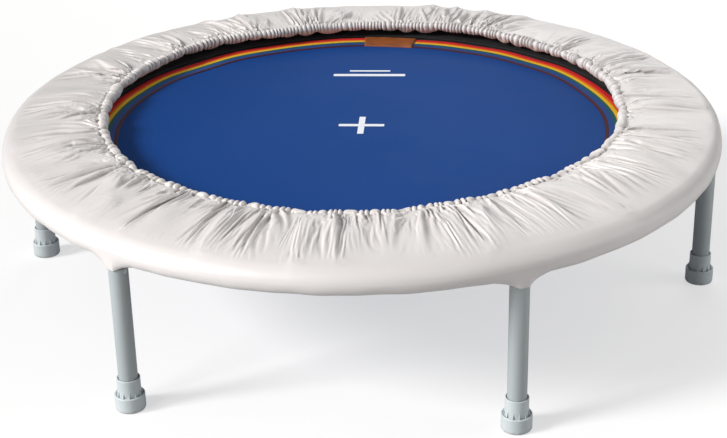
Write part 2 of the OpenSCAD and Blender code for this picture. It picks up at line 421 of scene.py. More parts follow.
def leg_share(azimuth):
    """1 at a leg, 0 away from it: how far the hem is drawn out over the leg."""
    share = np.zeros_like(azimuth)
    for k, leg in enumerate(LEGS):
        distance = angle_from(azimuth, leg) * FRAME_R
        s = np.abs(distance) / ((36 + 3 * math.sin(7.3 * k)) * mm)
        share = np.maximum(share, np.clip(1 - s, 0, 1) ** 0.9 * 1.18)
    return np.clip(share, 0, 1)


def channel_z(azimuth):
    """Height of the middle of the gathered channel."""
    return COVER_TOP - 1.4 * mm + periodic(8, [(7, 0.8 * mm), (19, 0.6 * mm)], azimuth)


def shoulder(azimuth):
    """Start radius and squareness of the shoulder: rounder toward the front."""
    front = smooth((cos(azimuth) + 0.15) / 0.7)
    return FRAME_R - (22 + 15 * front) * mm, 3.2 - 0.85 * front


def section(azimuth, points):
    """(radius, z) pairs, each a number or one value per azimuth -> (azimuths, points, 2)."""
    return np.stack([np.stack([r + 0 * azimuth, z + 0 * azimuth], -1) for r, z in points], 1)


def cover_outline(azimuth):
    """Control points of the cover's section, from the edge under the opening to the hem."""
    edge_r, edge_z = opening(azimuth), channel_z(azimuth)
    # the raw edge under the channel hangs in small loose lobes
    lobe = (np.abs(sin(azimuth * 37 + periodic(9, [(11, 0.8), (23, 0.6)], azimuth))) ** 0.7
            * (0.45 + 0.55 * smooth(0.5 + periodic(10, [(6, 1.0), (13, 0.8)], azimuth))))
    points = [
        (edge_r + 9.5 * mm, edge_z - 6.6 * mm - 7.0 * mm * lobe),
        (edge_r + 6.0 * mm, edge_z - 6.2 * mm - 6.2 * mm * lobe),
        (edge_r + 2.6 * mm, edge_z - 4.6 * mm - 1.6 * mm * lobe),
        (edge_r + 0.2 * mm, edge_z - 1.2 * mm),
        (edge_r + 1.2 * mm, edge_z + 3.4 * mm),
        (edge_r + 5.6 * mm, edge_z + 5.4 * mm),
        (edge_r + 11 * mm, edge_z + 3.4 * mm)]
    # slightly domed top
    roll_r, roll_z = points[-1]
    shoulder_r, squareness = shoulder(azimuth)
    for t in (0.12, 0.26, 0.42, 0.58, 0.72, 0.86):
        points.append((roll_r * (1 - t) + shoulder_r * t,
                       roll_z * (1 - t) + (COVER_TOP - 0.1 * mm) * t
                       + 1.6 * mm * sin(pi * t) * (1 - 0.2 * t)))
    points.append((shoulder_r, COVER_TOP))
    # pillow-shaped shoulder over the foam and the tube
    power = 2 / squareness
    for degrees in (70, 52, 38, 26, 14, 4):
        angle = math.radians(degrees)
        points.append((shoulder_r + (COVER_R - shoulder_r) * math.cos(angle) ** power,
                       FRAME_Z + (COVER_TOP - FRAME_Z) * math.sin(angle) ** power))
    # the skirt wraps the tube, and stands a little in front of each leg
    share = leg_share(azimuth)
    wrap_centre = FRAME_R - 0.5 * mm
    wrap_r = COVER_R - wrap_centre
    for (inset, drop), degrees in zip(SKIRT_AT_LEG, SKIRT_WRAP):
        angle = math.radians(degrees)
        wrapped_r = wrap_centre + wrap_r * math.cos(angle)
        wrapped_z = FRAME_Z + wrap_r * math.sin(angle)
        points.append(((COVER_R - inset * mm) * share + wrapped_r * (1 - share),
                       (FRAME_Z - drop * mm) * share + wrapped_z * (1 - share)))
    # a small turned hem
    hem_r, hem_z = points[-1]
    points += [(hem_r - 1.6 * mm, hem_z + 0.2 * mm), (hem_r - 1.8 * mm, hem_z + 3.0 * mm)]
    return section(azimuth, points)


def sample_outline(controls, spans):
    """Curve through the control points, spans[k] samples in span k."""
    padded = np.concatenate([2 * controls[:, :1] - controls[:, 1:2], controls,
                             2 * controls[:, -1:] - controls[:, -2:-1]], 1)
    samples = []
    for k, count in enumerate(spans):
        t = (np.arange(count) / count)[None, :, None]
        samples.append(cubic(*(padded[:, k + i][:, None, :] for i in range(4)), t))
    samples.append(controls[:, -1:])
    return np.concatenate(samples, 1)


COVER_STEPS = 3456
cover_azimuth = circle(COVER_STEPS)
turn = cover_azimuth[:, None]
outline = sample_outline(cover_outline(cover_azimuth),
                         EDGE_SPANS + TOP_SPANS + BEND_SPANS + SKIRT_SPANS + HEM_SPANS)
outline_r, outline_z = outline[..., 0], outline[..., 1]
steps = np.cumsum(np.linalg.norm(np.diff(outline, axis=1), axis=2), 1)
across = np.concatenate([np.zeros((COVER_STEPS, 1)), steps], 1)
# metres from the innermost line, outwards over the top
across = across - across[:, INNER_COLUMN:INNER_COLUMN + 1]
SEAM = float(np.mean(across[:, SEAM_COLUMN]))
tangents = np.gradient(outline, axis=1)
tangents /= np.linalg.norm(tangents, axis=2)[..., None]
normals = np.stack([-tangents[..., 1], tangents[..., 0]], -1)   # away from the filling


# ---------------------------------------------------------------- rim cover: folds and gathers
def lay_folds(squares, seed, count, start, length, half_start, half_end, height, skew, sharp):
    """Add the squared heights of random folds that run outwards from start.

    length, half_start and half_end (half widths at the ends) and height are (least, most)
    in mm; skew is the spread of the sideways drift in mm; sharp shapes the crest.
    """
    draw = np.random.default_rng(seed)
    for k in range(count):
        centre = (k + draw.uniform(-0.85, 0.85)) / count * 2 * pi
        fold_start = start + draw.uniform(-2, 2) * mm
        fold_length = draw.uniform(*length) * mm
        first_half = draw.uniform(*half_start) * mm
        last_half = draw.uniform(*half_end) * mm
        fold_height = draw.uniform(*height) * mm
        drift = draw.normal(0, skew) * mm
        lean = draw.uniform(-0.55, 0.55)
        power = sharp * draw.uniform(0.8, 1.25)
        # only the rows this fold can reach
        reach = (abs(drift) + 3 * max(first_half, last_half) + 4 * mm) / 0.36
        first = int(math.floor((centre - reach) / (2 * pi) * COVER_STEPS))
        last = int(math.ceil((centre + reach) / (2 * pi) * COVER_STEPS))
        rows = np.arange(first, last + 1) % COVER_STEPS
        t = (across[rows] - fold_start) / fold_length
        inside = np.clip(t, 0, 1)
        sideways = (angle_from(cover_azimuth[rows], centre)[:, None] * outline_r[rows]
                    - drift * inside ** 1.3)
        sideways = sideways / (first_half + (last_half - first_half) * inside)
        sideways = np.where(sideways > 0, sideways / (1 + lean), sideways / (1 - lean))
        profile = np.exp(-np.abs(sideways) ** power * 1.1)
        fade = np.where((t > 0) & (t < 1),
                        np.clip(t * 5, 0, 1) ** 0.8 * np.clip(1 - t, 0, 1) ** 0.65, 0)
        squares[rows] += (fold_height * profile * fade) ** 2.0


squares = np.zeros(across.shape)
lay_folds(squares, seed=11, count=40, start=SEAM - 2 * mm, length=(95, 160),
          half_start=(7, 12), half_end=(12, 26), height=(5.0, 10.5), skew=30, sharp=1.4)
big_folds = np.sqrt(squares)
lay_folds(squares, seed=12, count=104, start=SEAM - 3 * mm, length=(45, 120),
          half_start=(3.5, 6), half_end=(5, 11), height=(3.0, 7.0), skew=17, sharp=1.3)
lay_folds(squares, seed=13, count=240, start=SEAM - 4 * mm, length=(14, 45),
          half_start=(1.8, 3), half_end=(2.5, 5), height=(1.6, 3.6), skew=4, sharp=1.3)
relief = np.sqrt(squares)

# ribs of the gathered channel that holds the elastic, with a pitch and depth that vary round it
rib_phase = ((235 * turn - 80 * sin(turn) + 42.5 * sin(2 * turn))
             + periodic(21, [(31, 2.2), (67, 2.4), (13, 2.0)], turn)
             + 60 * across * sin(turn * 37))
rib = np.abs(sin(rib_phase / 2)) ** (0.58 + 0.5 * sin(turn) ** 2)
channel = smooth((across + 11 * mm) / (5 * mm)) * (
    1 - smooth((across - SEAM + 0.5 * mm) / (5 * mm)))
rib_height = ((3.4 + 1.5 * sin(turn) ** 2) * mm
              * (1 + 0.4 * sin(turn * 29 + 1) * sin(turn * 11)))
relief = relief + channel * (rib_height * rib - 2.2 * mm)
# the stitch line that closes the channel pulls the fabric down
relief -= 2.4 * mm * np.exp(-((across - SEAM - 0.5 * mm) / (2.2 * mm)) ** 2)
# the folds die down towards the rim
beyond_seam = across > SEAM
outer_fade = 1 - smooth((across - 112 * mm) / (30 * mm))
relief = np.where(beyond_seam, relief * (0.25 + 0.75 * outer_fade), relief)
# soft hollows between the folds
phase_a = periodic(32, [(9, 0.7), (21, 0.5)], turn)
phase_b = periodic(34, [(7, 0.8), (17, 0.5)], turn)
hollows = (0.8 * mm
           + 1.5 * mm * sin(27 * turn + 22 * across + 3 * phase_a)
           * sin(11 * turn - 9 * across + 2 * phase_b)
           + 1.1 * mm * sin(49 * turn - 30 * across + 4 * phase_b)
           * sin(17 * turn + 25 * across + phase_a))
hollows = hollows * np.exp(-((across - 72 * mm) / (42 * mm)) ** 2)
relief = relief + np.where(beyond_seam, hollows, 0)
# slight slack waves on the skirt under the rim
low_skirt = smooth((FRAME_Z - outline_z + 2 * mm) / (14 * mm)) * (outline_r > FRAME_R - 8 * mm)
relief += low_skirt * periodic(33, [(26, 0.7 * mm), (53, 0.4 * mm)], turn)

folded = outline + normals * relief[..., None]
# the channel's ribs also shift a little round the ring
shifted = turn + periodic(37, [(80, 0.4), (160, 0.3)], turn) * 1.2 * mm * channel / 0.36
cover_points = polar(folded[..., 0], shifted, folded[..., 1])

# ---------------------------------------------------------------- rim cover: cloth simulation
# The free cloth between the channel and the rim starts as a cone that stands on the rim, its
# edge wider than the opening. The edge is drawn in and the cloth buckles over the foam.
SIM_STEP = 3                # every third row of the cover is simulated
GATHER_FRAMES = 10          # drawing the edge in
SETTLE_FRAMES = 6           # coming to rest
EDGE_SLACK = 0.055          # how much wider the cone's edge is than the opening
START_FOLDS = 1.6           # height of the folds on the cone, as a share of the modelled ones
TWIST = 0.026               # sideways sway of the cone's edge
BASE_RIDGES = 0.75          # share of the big folds that the base under the cloth carries
CLOTH_GAP = 0.8 * mm
MOST_TRAVEL = 16 * mm


def simulate(start, target, pin, base):
    """Draw the pinned cloth from start to target over base, let it settle, give its points."""
    rows, columns = start.shape[:2]
    cloth = mesh_object("sim_cloth", (start, grid_quads(rows, columns, flip=True), None),
                        outward=False)
    cloth.shape_key_add(name="Basis")
    key = cloth.shape_key_add(name="gathered")
    key.data.foreach_set("co", target.reshape(-1).astype(np.float32))
    for frame_number, value in ((1, 0.0), (2, 0.02), (GATHER_FRAMES, 1.0)):
        key.value = value
        key.keyframe_insert("value", frame=frame_number)
    for curve in cloth.data.shape_keys.animation_data.action.fcurves:
        for point in curve.keyframe_points:
            point.interpolation = "LINEAR"
    group = cloth.vertex_groups.new(name="pin")
    weights = np.round(pin.ravel(), 2)
    for weight in np.unique(weights):
        if weight > 0:
            members = [int(i) for i in np.nonzero(weights == weight)[0]]
            group.add(members, float(weight), "REPLACE")

    support = mesh_object("sim_base", (base, grid_quads(*base.shape[:2], flip=True), None),
                          outward=False)
    support.modifiers.new("Collision", "COLLISION")
    support.collision.thickness_outer = CLOTH_GAP
    support.collision.thickness_inner = 0.004
    support.collision.cloth_friction = 4

    modifier = cloth.modifiers.new("Cloth", "CLOTH")
    settings = modifier.settings
    settings.quality = 5
    settings.mass = 0.01
    settings.tension_stiffness = settings.compression_stiffness = 60
    settings.shear_stiffness = 4
    settings.bending_stiffness = 1e-3
    settings.tension_damping = settings.compression_damping = 5
    settings.shear_damping = 5
    settings.bending_damping = 0.5
    settings.air_damping = 1.0
    settings.vertex_group_mass = "pin"
    settings.pin_stiffness = 1
    settings.effector_weights.gravity = 0.06
    modifier.collision_settings.distance_min = CLOTH_GAP
    modifier.collision_settings.collision_quality = 2
    modifier.collision_settings.use_self_collision = False
    last_frame = GATHER_FRAMES + SETTLE_FRAMES
    modifier.point_cache.frame_start = 1
    modifier.point_cache.frame_end = last_frame
    scene = bpy.context.scene
    scene.frame_start, scene.frame_end = 1, last_frame
    for frame_number in range(1, last_frame + 1):
        scene.frame_set(frame_number)
    settled = cloth.evaluated_get(bpy.context.evaluated_depsgraph_get()).data
    points = np.zeros(len(settled.vertices) * 3, np.float32)
    settled.vertices.foreach_get("co", points)
    points = points.reshape(rows, columns, 3).astype(float)
    scene.frame_set(1)
    for item in (cloth, support):
        mesh = item.data
        bpy.data.objects.remove(item)
        bpy.data.meshes.remove(mesh)
    return points


def drape_cover():
    """Move the cover's free cloth to where the simulation leaves it."""
    rows = np.arange(0, COVER_STEPS, SIM_STEP)
    columns = np.arange(SEAM_COLUMN, BEND_COLUMN + 1)
    target = cover_points[rows][:, columns]
    part_r = outline_r[rows][:, columns]
    part_z = outline_z[rows][:, columns]
    part_relief = relief[rows][:, columns]
    part_across = across[rows][:, columns]
    # the cone, from the foot column on the rim inwards
    foot = int(np.argmax(part_r[0] > FRAME_R - 14.5 * mm))
    distance = np.maximum(0, part_across[:, foot:foot + 1] - part_across)
    inner_r, foot_r = part_r[:, :1], part_r[:, foot:foot + 1]
    cosine = np.clip((foot_r - inner_r - EDGE_SLACK) / distance[:, :1], 0.05, 1)
    sine = np.sqrt(1 - cosine ** 2)
    part_relief = np.where(part_across > SEAM + 2 * mm, part_relief * START_FOLDS, part_relief)
    sway = periodic(71, [(7, 1.0), (16, 0.8), (33, 0.6)], turn[rows]) * TWIST / 0.4
    inside = np.arange(len(columns))[None] < foot
    cone_r = np.where(inside, foot_r - distance * cosine + part_relief * sine, part_r)
    cone_z = np.where(inside, part_z[:, foot:foot + 1] + distance * sine + part_relief * cosine,
                      part_z)
    start = polar(cone_r, shifted[rows][:, columns] + sway * (distance / distance[:, :1]), cone_z)
    start[:, foot:] = target[:, foot:]
    pin = np.maximum(1 - smooth((part_across - SEAM) / (3 * mm)),
                     smooth((part_r - (FRAME_R - 6 * mm)) / (6 * mm)))
    # the base carries deeper folds at the two sides
    base_rows = np.arange(0, COVER_STEPS, 8)
    side = 1 + 0.35 * sin(turn) ** 2
    base = (outline + normals * (side * (1.8 * hollows + BASE_RIDGES * big_folds)
                                 - 2.4 * mm)[..., None])
    base = base[base_rows][:, np.r_[SEAM_COLUMN + 1:BEND_COLUMN + 3:3]]
    relaxed = simulate(start, target, pin, polar(base[..., 0], turn[base_rows], base[..., 1]))
    # no point may wander far from the modelled cover
    move = relaxed - target
    travel = np.linalg.norm(move, axis=2, keepdims=True)
    relaxed = target + move * np.minimum(1, MOST_TRAVEL / np.maximum(travel, 1e-9))
    # back onto the fine grid, with a cubic through four simulated rows
    move = relaxed - target
    neighbours = np.roll(move, 1, 0), move, np.roll(move, -1, 0), np.roll(move, -2, 0)
    for k in range(SIM_STEP):
        cover_points[k::SIM_STEP, columns[0]:columns[-1] + 1] += cubic(*neighbours, k / SIM_STEP)


drape_cover()
# crests are eased in so that none stands more than 15 mm over the padding
over = cover_points[..., 2] - (COVER_TOP + 8 * mm)
cover_points[..., 2] = np.where(over > 0, COVER_TOP + 8 * mm + 7 * mm * np.tanh(over / (7 * mm)),
                                cover_points[..., 2])


def cover_satin():
    look = Look("cover_satin", (0.62, 0.57, 0.53), rough=0.42)
    uv, position = look.uv, look.position
    u, v, _ = look.split(uv)
    colour = look.mottle(look.noise(position, 9, detail=4, rough=0.55),
                         (0.735, 0.708, 0.697), (0.695, 0.668, 0.657))
    grain = look.noise(look.stretch(uv, 1, 6), 900, detail=2, rough=0.6)
    colour = look.mix(grain * 0.12, colour, (0.46, 0.42, 0.385))
    # thread dots along the channel's stitch line
    near = look.math("LESS_THAN", abs(v - (SEAM + 0.3 * mm)), 0.5 * mm)
    dash = look.math("GREATER_THAN", look.wave(u, 3.2 * mm), -0.2)
    colour = look.mix(near * dash * 0.5, colour, (0.38, 0.34, 0.31))
    # the bottoms of the gathers stay in shade
    gather = look.add("ShaderNodeAttribute", {}, "Fac", attribute_name="gather")
    colour = look.mix(gather * 0.7, colour, (0.27, 0.235, 0.21))
    # painted shade: the turned-in side under the edge is warmer and darker, as it lies in shadow
    underside_shade = look.remap(v, start=-9 * mm, end=-4 * mm, low=1, high=0)
    look.set("Base Color", look.mix(underside_shade * 0.85, colour, (0.50, 0.36, 0.29)))
    look.set("Roughness", look.noise(position, 40) * 0.12 + 0.38)
    look.set("Sheen Weight", 0.18)
    look.set("Sheen Roughness", 0.4)
    look.set("Specular IOR Level", 0.62)
    look.bump(look.noise(look.stretch(position, 1, 1), 160, rough=0.6),
              depth=0.5 * mm, strength=0.25)
    look.bump(look.weave(0.55 * mm, 0.55 * mm), depth=0.06 * mm, strength=0.35)
    return look


def build_cover():
    cover = mesh_object("cover", sheet(cover_points, round_length(COVER_STEPS, 0.44),
                                       np.concatenate([across, across[:1]])), cover_satin())
    # valleys: how far a point lies under the mean of its neighbours round the ring
    z, gap = cover_points[..., 2], COVER_STEPS // 540
    sunk = (np.roll(z, gap, 0) + np.roll(z, -gap, 0)) / 2 - z
    valley = (np.clip(sunk / (1.2 * mm), 0, 1) * smooth((across - SEAM) / (4 * mm))
              * (normals[..., 1] > 0.5))
    shade = np.maximum(channel * np.clip(1 - rib, 0, 1) ** 1.2, 0.55 * valley)
    gather = cover.data.attributes.new("gather", "FLOAT", "POINT")
    gather.data.foreach_set("value", shade.ravel().astype(np.float32))
    on_frame(cover, "rim_cover")


build_cover()


# ---------------------------------------------------------------- foam under the cover
def foam_section(azimuth):
    inner = np.maximum(opening(azimuth) + 14 * mm, 0.377)
    bottom = FRAME_Z + TUBE_R + 0.6 * mm
    shoulder_r, squareness = shoulder(azimuth)

    def under_cover(radius):
        t = np.maximum(0.0, radius - shoulder_r) / (COVER_R - shoulder_r)
        height = np.maximum(0.0, 1 - t ** squareness) ** (1 / squareness)
        return FRAME_Z + (COVER_TOP - FRAME_Z) * height - 3.0 * mm

    points = [(inner + 1.2 * mm, bottom), (FRAME_R - 6 * mm, bottom), (FRAME_R + 4 * mm, bottom)]
    for radius in (FRAME_R + 4 * mm, FRAME_R - 4 * mm, FRAME_R - 16 * mm):
        points.append((radius, np.maximum(under_cover(radius), bottom + 0.2 * mm)))
    points += [(FRAME_R - 50 * mm, COVER_TOP - 3.4 * mm), (inner + 20 * mm, COVER_TOP - 3.6 * mm),
               (inner + 2 * mm, COVER_TOP - 4.4 * mm), (inner, COVER_TOP - 5.6 * mm),
               (inner, bottom + 1 * mm)]
    return section(azimuth, points)[:, ::-1]


def foam_pe():
    look = Look("foam_pe", (0.78, 0.77, 0.72), rough=0.85)
    look.bump(look.voronoi(look.position, 700), depth=0.4 * mm, strength=0.5)
    look.bump(look.noise(look.position, 60), depth=1 * mm, strength=0.3)
    look.set("Base Color", look.mix(look.noise(look.position, 30),
                                    (0.80, 0.79, 0.74), (0.70, 0.69, 0.64)))
    return look


def build_foam(count=240):
    azimuth = circle(count)
    points = foam_section(azimuth)
    surface = sheet(polar(points[..., 0], azimuth[:, None], points[..., 1]),
                    round_length(count, 0.44), path_length(points[0], closed=True), closed=True)
    on_frame(mesh_object("foam", surface, foam_pe()), "rim_foam")


build_foam()


# ---------------------------------------------------------------- cords in the cover's two edges
def elastic_black():
    look = Look("elastic", (0.05, 0.048, 0.046), rough=0.7)
    look.bump(look.weave(1.2 * mm, 1.2 * mm), depth=0.3 * mm, strength=0.6)
    return look


def build_cords():
    elastic = elastic_black()
    azimuth = circle(480)
    path = polar(opening(azimuth) + 6 * mm, azimuth, channel_z(azimuth))
    on_frame(mesh_object("opening_cord", tube(path, 2.0 * mm, 8, closed=True), elastic),
             "opening_elastic")
    azimuth = cover_azimuth[::4]
    edge = cover_outline(azimuth)[:, -3]            # where the turned hem begins
    path = polar(edge[:, 0] - 1.4 * mm, azimuth, edge[:, 1] + 1.6 * mm)
    on_frame(mesh_object("hem_cord", tube(path, 0.9 * mm, 6, closed=True), elastic),
             "hem_elastic")


build_cords()


# ---------------------------------------------------------------- mat
def mat_weave():
    look = Look("mat_weave", (0.03, 0.09, 0.33), rough=0.5)
    position = look.position
    x, y, _ = look.split(position)
    # flat tapes woven over and under
    tape = 1.6 * mm
    cell_x, cell_y = look.math("FLOOR", x / tape), look.math("FLOOR", y / tape)
    checker = look.math("MODULO", abs(cell_x + cell_y), 2.0)
    ridge_x, ridge_y = abs(look.wave(x, 2 * tape)), abs(look.wave(y, 2 * tape))
    height = checker * (ridge_x * 0.5) + (1.0 - checker) * (ridge_y * 0.5)
    colour = look.mottle(look.noise(position, 3.5, rough=0.55),
                         (0.008, 0.060, 0.255), (0.011, 0.069, 0.285))
    # painted shade: the low parts of the woven tapes are darker
    colour = look.mix((1.0 - height) * 0.28, colour, (0.008, 0.028, 0.14))
    # fine dust and scuffs
    dust = look.remap(look.noise(position, 260, detail=4, rough=0.7),
                      start=0.58, end=0.8, high=0.28)
    colour = look.mix(dust, colour, (0.03, 0.10, 0.32))
    # painted shade: darker towards the sewn edge, as in the shadow of the rim
    radius = look.add("ShaderNodeVectorMath", {0: look.stretch(position, 1, 1, 0)}, "Value",
                      operation="LENGTH")
    edge = look.remap(radius, start=0.20, end=0.35, high=0.42)
    look.set("Base Color", look.mix(edge, colour, (0.004, 0.045, 0.205)))
    look.set("Roughness", look.noise(position, 14) * 0.14 + 0.5)
    look.set("Specular IOR Level", 0.06)
    look.set("IOR", 1.35)
    look.bump(look.noise(position, 5, detail=2), depth=2 * mm, strength=0.12)
    look.bump(height, depth=0.25 * mm, strength=0.5)
    return look


def mat_z(radius, azimuth):
    """Height of the mat: taut, with a shallow wave near the sewn edge."""
    edge = smooth((radius - 0.30) / 0.1)
    wave = sin(azimuth * 6 + 0.4) * 0.6 + sin(azimuth * 17 + 2) * 0.3
    return MAT_Z + 0.5 * mm * edge * wave


def build_mat(count=288, circles=44, hole=0.0008, thickness=1.0 * mm):
    azimuth = circle(count)[:, None]
    radius = hole + (MAT_R - hole) * (np.arange(circles) / (circles - 1))
    top, quads, corners = sheet(polar(radius, azimuth, mat_z(radius, azimuth)),
                                round_length(count, (hole + MAT_R) / 2), radius)
    bottom = top - np.array((0, 0, thickness))
    surface = join([(top, quads, corners), (bottom, quads[:, ::-1], corners[:, ::-1])])
    on_mat(mesh_object("mat_sheet", surface, mat_weave()), "mat_blue", "jumping_mat")


build_mat()

# ---------------------------------------------------------------- striped webbing
# one ribbon: (start across the width, colour)
STRIPES = [(0.0, (0.050, 0.002, 0.007)), (0.13, (0.004, 0.058, 0.27)), (0.36, (0.0, 0.11, 0.10)),
           (0.50, (0.90, 0.54, 0.006)), (0.66, (0.85, 0.11, 0.004)), (0.78, (0.72, 0.002, 0.008))]
WEB_LIFT = 0.9 * mm                                 # rise of the ribbon's outer edge
STITCH = np.linspace(-0.5, 0.5, 5)                  # stations along one stitch
STITCH_ARCH = 1 - (2 * STITCH) ** 2


def web_wave(azimuth):
    """Wander of the ribbon in radius."""
    return periodic(51, [(5, 1.0 * mm), (12, 1.3 * mm), (19, 0.8 * mm)], azimuth)


def webbing_stripes():
    look = Look("webbing_stripes", (0.5, 0.1, 0.1), rough=0.7)
    uv = look.uv
    u, v, _ = look.split(uv)
    fray = look.noise(look.stretch(uv, 1, 1), 420, detail=2, rough=0.6)
    place = (v - WEB_INNER) / WEB_WIDTH + (fray - 0.5) * 0.018
    colour = look.add("ShaderNodeValToRGB", {0: place})
    ramp = colour.socket.node.color_ramp
    ramp.interpolation = "CONSTANT"
    while len(ramp.elements) < len(STRIPES):
        ramp.elements.new(0.5)
    for element, (start, stripe) in enumerate(STRIPES):
        ramp.elements[element].position = start
        ramp.elements[element].color = (*stripe, 1)
    # yarns: warp rows along the ribbon, weft ribs across it
    row = 1.15 * mm
    warp = abs(look.wave(v, 2 * row))
    stagger = look.math("FLOOR", v / row) * (pi / 2)
    weft = abs(look.math("SINE", u * (pi / (1.5 * mm)) + stagger))
    height = warp * (weft * 0.6 + 0.4)
    shaded = look.mix(1.0, colour, (0.35, 0.35, 0.35), blend="MULTIPLY")
    colour = look.mix((1.0 - height) * 0.3, colour, shaded)
    fuzz = look.remap(look.noise(uv, 3000, detail=2), start=0.5, end=0.8, high=0.05)
    look.set("Base Color", look.mix(fuzz, colour, (0.8, 0.7, 0.6)))
    look.set("Sheen Weight", 0.03)
    look.set("Specular IOR Level", 0.18)
    look.bump(height, depth=0.35 * mm, strength=0.8)
    return look


def thread(name, colour):
    look = Look(name, colour, rough=0.6)
    look.bump(look.noise(look.position, 2500, detail=2), depth=0.1 * mm, strength=0.6)
    return look


def build_webbing():
    azimuth = circle(RING_STEPS)[:, None]
    # (distance from the inner edge, height over the mat) in mm
    profile = np.array([(0.0, -0.7), (0.0, 0.55), (0.5, 0.95)]
                       + [(x, 1.05 + 0.12 * math.sin(x * 0.9)) for x in np.linspace(2, 35, 16)]
                       + [(36.5, 0.95), (37, 0.55), (37, -0.7)]) * mm
    offset, height = profile.T
    roll = periodic(52, [(9, 0.5), (21, 0.5)], azimuth)
    radius = WEB_INNER + offset + web_wave(azimuth)
    z = mat_z(radius, azimuth) + height + WEB_LIFT * (1 + roll) * (offset / WEB_WIDTH) ** 2
    surface = sheet(polar(radius, azimuth, z), round_length(RING_STEPS, WEB_MIDDLE),
                    WEB_INNER + offset)
    on_mat(mesh_object("webbing", surface, webbing_stripes()), "web_red", "webbing_maroon",
           "webbing_blue", "webbing_teal", "webbing_yellow", "webbing_orange", "webbing_red")


def build_web_thread(pitch=3.4 * mm, length=2.6 * mm):
    """A row of stitches near the inner edge, in thread that sinks into the ribbon."""
    row_r = WEB_INNER + 2.6 * mm
    count = int(2 * pi * row_r / pitch)
    parts = []
    for k in range(count):
        azimuth = (k + 0.5) / count * 2 * pi + STITCH * length / row_r
        radius = row_r + web_wave(azimuth)
        z = mat_z(radius, azimuth) + 1.05 * mm + 0.42 * mm * STITCH_ARCH - 0.12 * mm
        parts.append(tube(polar(radius, azimuth, z), 0.28 * mm, 5))
    on_mat(mesh_object("web_thread", join(parts), thread("thread_dark", (0.10, 0.02, 0.03))),
           "web_maroon")


build_webbing()
build_web_thread()


# ---------------------------------------------------------------- black band and flap
def band_black():
    look = Look("band_black", (0.012, 0.012, 0.013), rough=0.75)
    weave = look.weave(1.4 * mm, 1.1 * mm)
    colour = look.mix(look.noise(look.position, 60),
                      (0.010, 0.010, 0.011), (0.022, 0.021, 0.022))
    fuzz = look.remap(look.noise(look.uv, 2500, detail=2), start=0.55, end=0.85, high=0.25)
    look.set("Base Color", look.mix(fuzz, colour, (0.08, 0.078, 0.075)))
    look.set("Specular IOR Level", 0.25)
    look.bump(weave, depth=0.3 * mm, strength=0.8)
    look.bump(look.noise(look.position, 90, detail=2), depth=0.6 * mm, strength=0.3)
    return look


def radial_seams(azimuth, radius, ridge, ridge_width, groove, groove_width, groove_offset):
    """Height of twelve radial seams, each a ridge with a groove beside it; sizes in mm."""
    height = np.zeros_like(azimuth)
    for k in range(12):
        distance = angle_from(azimuth, math.radians(0.85 + 30 * k)) * radius
        height += (np.exp(-(distance / (ridge_width * mm)) ** 2) * ridge * mm
                   - np.exp(-((distance - groove_offset * mm) / (groove_width * mm)) ** 2)
                   * groove * mm)
    return height


def build_band(look):
    """Band beyond the webbing."""
    azimuth = circle(RING_STEPS)[:, None]
    inner, outer, top, bottom = BAND_INNER, band_high.x, BAND_TOP, band_low.z
    profile = np.array([
        (inner, top - 0.9 * mm), (inner + 0.4 * mm, top - 0.2 * mm), (inner + 2 * mm, top),
        (inner + 7 * mm, top + 0.3 * mm), (inner + 13 * mm, top + 0.3 * mm),
        (inner + 19 * mm, top + 0.1 * mm), (outer - 1 * mm, top), (outer, top - 0.7 * mm),
        (outer, bottom + 0.7 * mm), (outer - 1 * mm, bottom),
        (inner + 4 * mm, bottom), (inner + 3.2 * mm, bottom + 0.6 * mm)])
    seams = radial_seams(azimuth, 0.4, ridge=0.8, ridge_width=1.3,
                         groove=0.5, groove_width=1.0, groove_offset=3)
    waves = 0.4 * mm * periodic(61, [(24, 0.6), (36, 0.8)], azimuth)
    on_top = profile[:, 1] > top - 0.5 * mm
    z = profile[:, 1] + (seams + waves) * on_top
    surface = sheet(polar(profile[:, 0], azimuth, z), round_length(RING_STEPS, 0.4),
                    path_length(profile, closed=True), closed=True)
    on_mat(mesh_object("edge_band", surface, look), "band_black", "mat_border")


def build_guard(look):
    """Flap of the same cloth over the rings and the inner part of the springs."""
    azimuth = circle(RING_STEPS)[:, None]
    t = np.linspace(0, 1, 15)
    width = guard_high.x - GUARD_INNER
    low = FRAME_Z + 3.95 * mm
    z = low + (guard_high.z - 0.55 * mm - low) * np.clip(t / 0.74, 0, 1)
    seams = radial_seams(azimuth, 0.42, ridge=0.5, ridge_width=1.5,
                         groove=0.35, groove_width=1.1, groove_offset=3.5)
    # it sags between the springs
    sag = 0.3 * mm * (cos((azimuth - math.radians(FIRST_SPRING)) * SPRING_COUNT) - 1)
    z = (z + (seams + sag) * sin(pi * np.clip(t, 0.05, 0.95))
         + 0.25 * mm * periodic(63, [(31, 0.6), (58, 0.6)], azimuth))
    top = np.stack(np.broadcast_arrays(GUARD_INNER + width * t, z), -1)
    bottom = top[:, ::-1].copy()
    bottom[..., 1] -= 0.8 * mm
    bottom[:, 0, 0] -= 0.2 * mm
    bottom[:, -1, 0] += 0.2 * mm
    points = np.concatenate([top, bottom], 1)
    surface = sheet(polar(points[..., 0], azimuth, points[..., 1]),
                    round_length(RING_STEPS, 0.42),
                    np.concatenate([t * width, width + t * width, [2 * width]]), closed=True)
    on_mat(mesh_object("guard_flap", surface, look), "band_black", "spring_guard")


band_look = band_black()
build_band(band_look)
build_guard(band_look)


# ---------------------------------------------------------------- rings, springs, tabs
def spring_steel():
    look = Look("spring_steel", (0.62, 0.63, 0.65), rough=0.3, metal=1.0)
    look.set("Roughness", look.noise(look.position, 300) * 0.25 + 0.2)
    look.set("Base Color", look.mix(look.noise(look.position, 120),
                                    (0.66, 0.67, 0.69), (0.50, 0.50, 0.51)))
    return look


